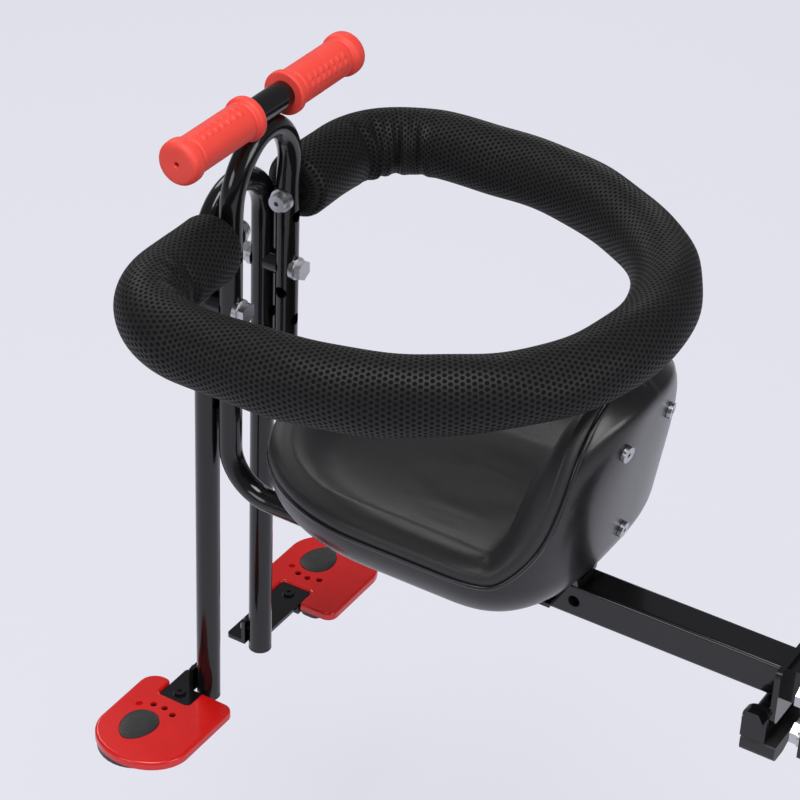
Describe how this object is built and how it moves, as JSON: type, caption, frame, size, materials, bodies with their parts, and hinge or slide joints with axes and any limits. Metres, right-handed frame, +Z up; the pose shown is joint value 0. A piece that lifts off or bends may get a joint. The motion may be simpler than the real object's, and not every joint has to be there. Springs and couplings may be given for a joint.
{
  "type": "child bike seat",
  "caption": "Rear child seat for a bicycle: clamp on the seatpost, main tube, bent tube frames, padded guard ring, cushioned seat with a wrapped back, handle bar and strapless footrests.",
  "frame": {"origin": "centre of the seatpost clamp's bore, halfway up the jaws", "axes": "+X along the main tube, away from the seatpost; +Y to the left as the child faces; +Z up along the seatpost"},
  "size_m": [0.5251, 0.35, 0.4891],
  "materials": {
    "gloss_black": "gloss",
    "zinc": "satin",
    "red_rubber": "satin",
    "red_tread": "satin",
    "black_plastic": "satin",
    "black_shell": "satin",
    "vinyl": "matte",
    "board": "matte",
    "sleeve": "matte",
    "foam": "matte",
    "nylon": "matte"
  },
  "bodies": {
    "root": {"clamp_jaw_front": "gloss_black", "clamp_jaw_rear": "gloss_black", "clamp_liner_front": "nylon", "clamp_liner_rear": "nylon", "clamp_bolts": "zinc", "clamp_washers": "zinc", "clamp_nuts": "zinc", "rest_bracket": "gloss_black", "rest_pad": "nylon", "rest_bolt": "zinc", "main_tube": "gloss_black", "tube_bushings": "nylon", "tube_end_plug": "nylon", "u_frame": "gloss_black", "frame_end_plugs": "nylon", "frame_sleeves": "zinc", "frame_bolts": "zinc", "frame_washers": "zinc", "frame_nuts": "zinc", "handle_bar": "gloss_black", "grip_left": "red_rubber", "grip_right": "red_rubber", "leg_frame": "gloss_black", "leg_saddles": "zinc", "leg_bolts": "zinc", "leg_washers": "zinc", "leg_nuts": "zinc", "leg_end_plugs": "nylon", "guard_tube": "gloss_black", "guard_end_plugs": "gloss_black", "guard_foam": "foam", "guard_sleeve": "sleeve", "guard_bolts": "zinc", "guard_washers": "zinc", "seat_bracket_rear": "gloss_black", "seat_bracket_front": "gloss_black", "bracket_screws": "zinc", "seat_bolts": "zinc", "seat_shell": "black_shell", "seat_board": "board", "back_board": "board", "seat_cushion": "vinyl", "back_screws": "zinc", "arm_left": "gloss_black", "arm_right": "gloss_black", "arm_bolts": "zinc", "leg_inserts": "zinc", "arm_screws": "zinc", "footrest_base_left": "black_plastic", "footrest_base_right": "black_plastic", "footrest_tread_left": "red_tread", "footrest_tread_right": "red_tread", "footrest_pad_left": "nylon", "footrest_pad_right": "nylon"}
  },
  "joints": []
}
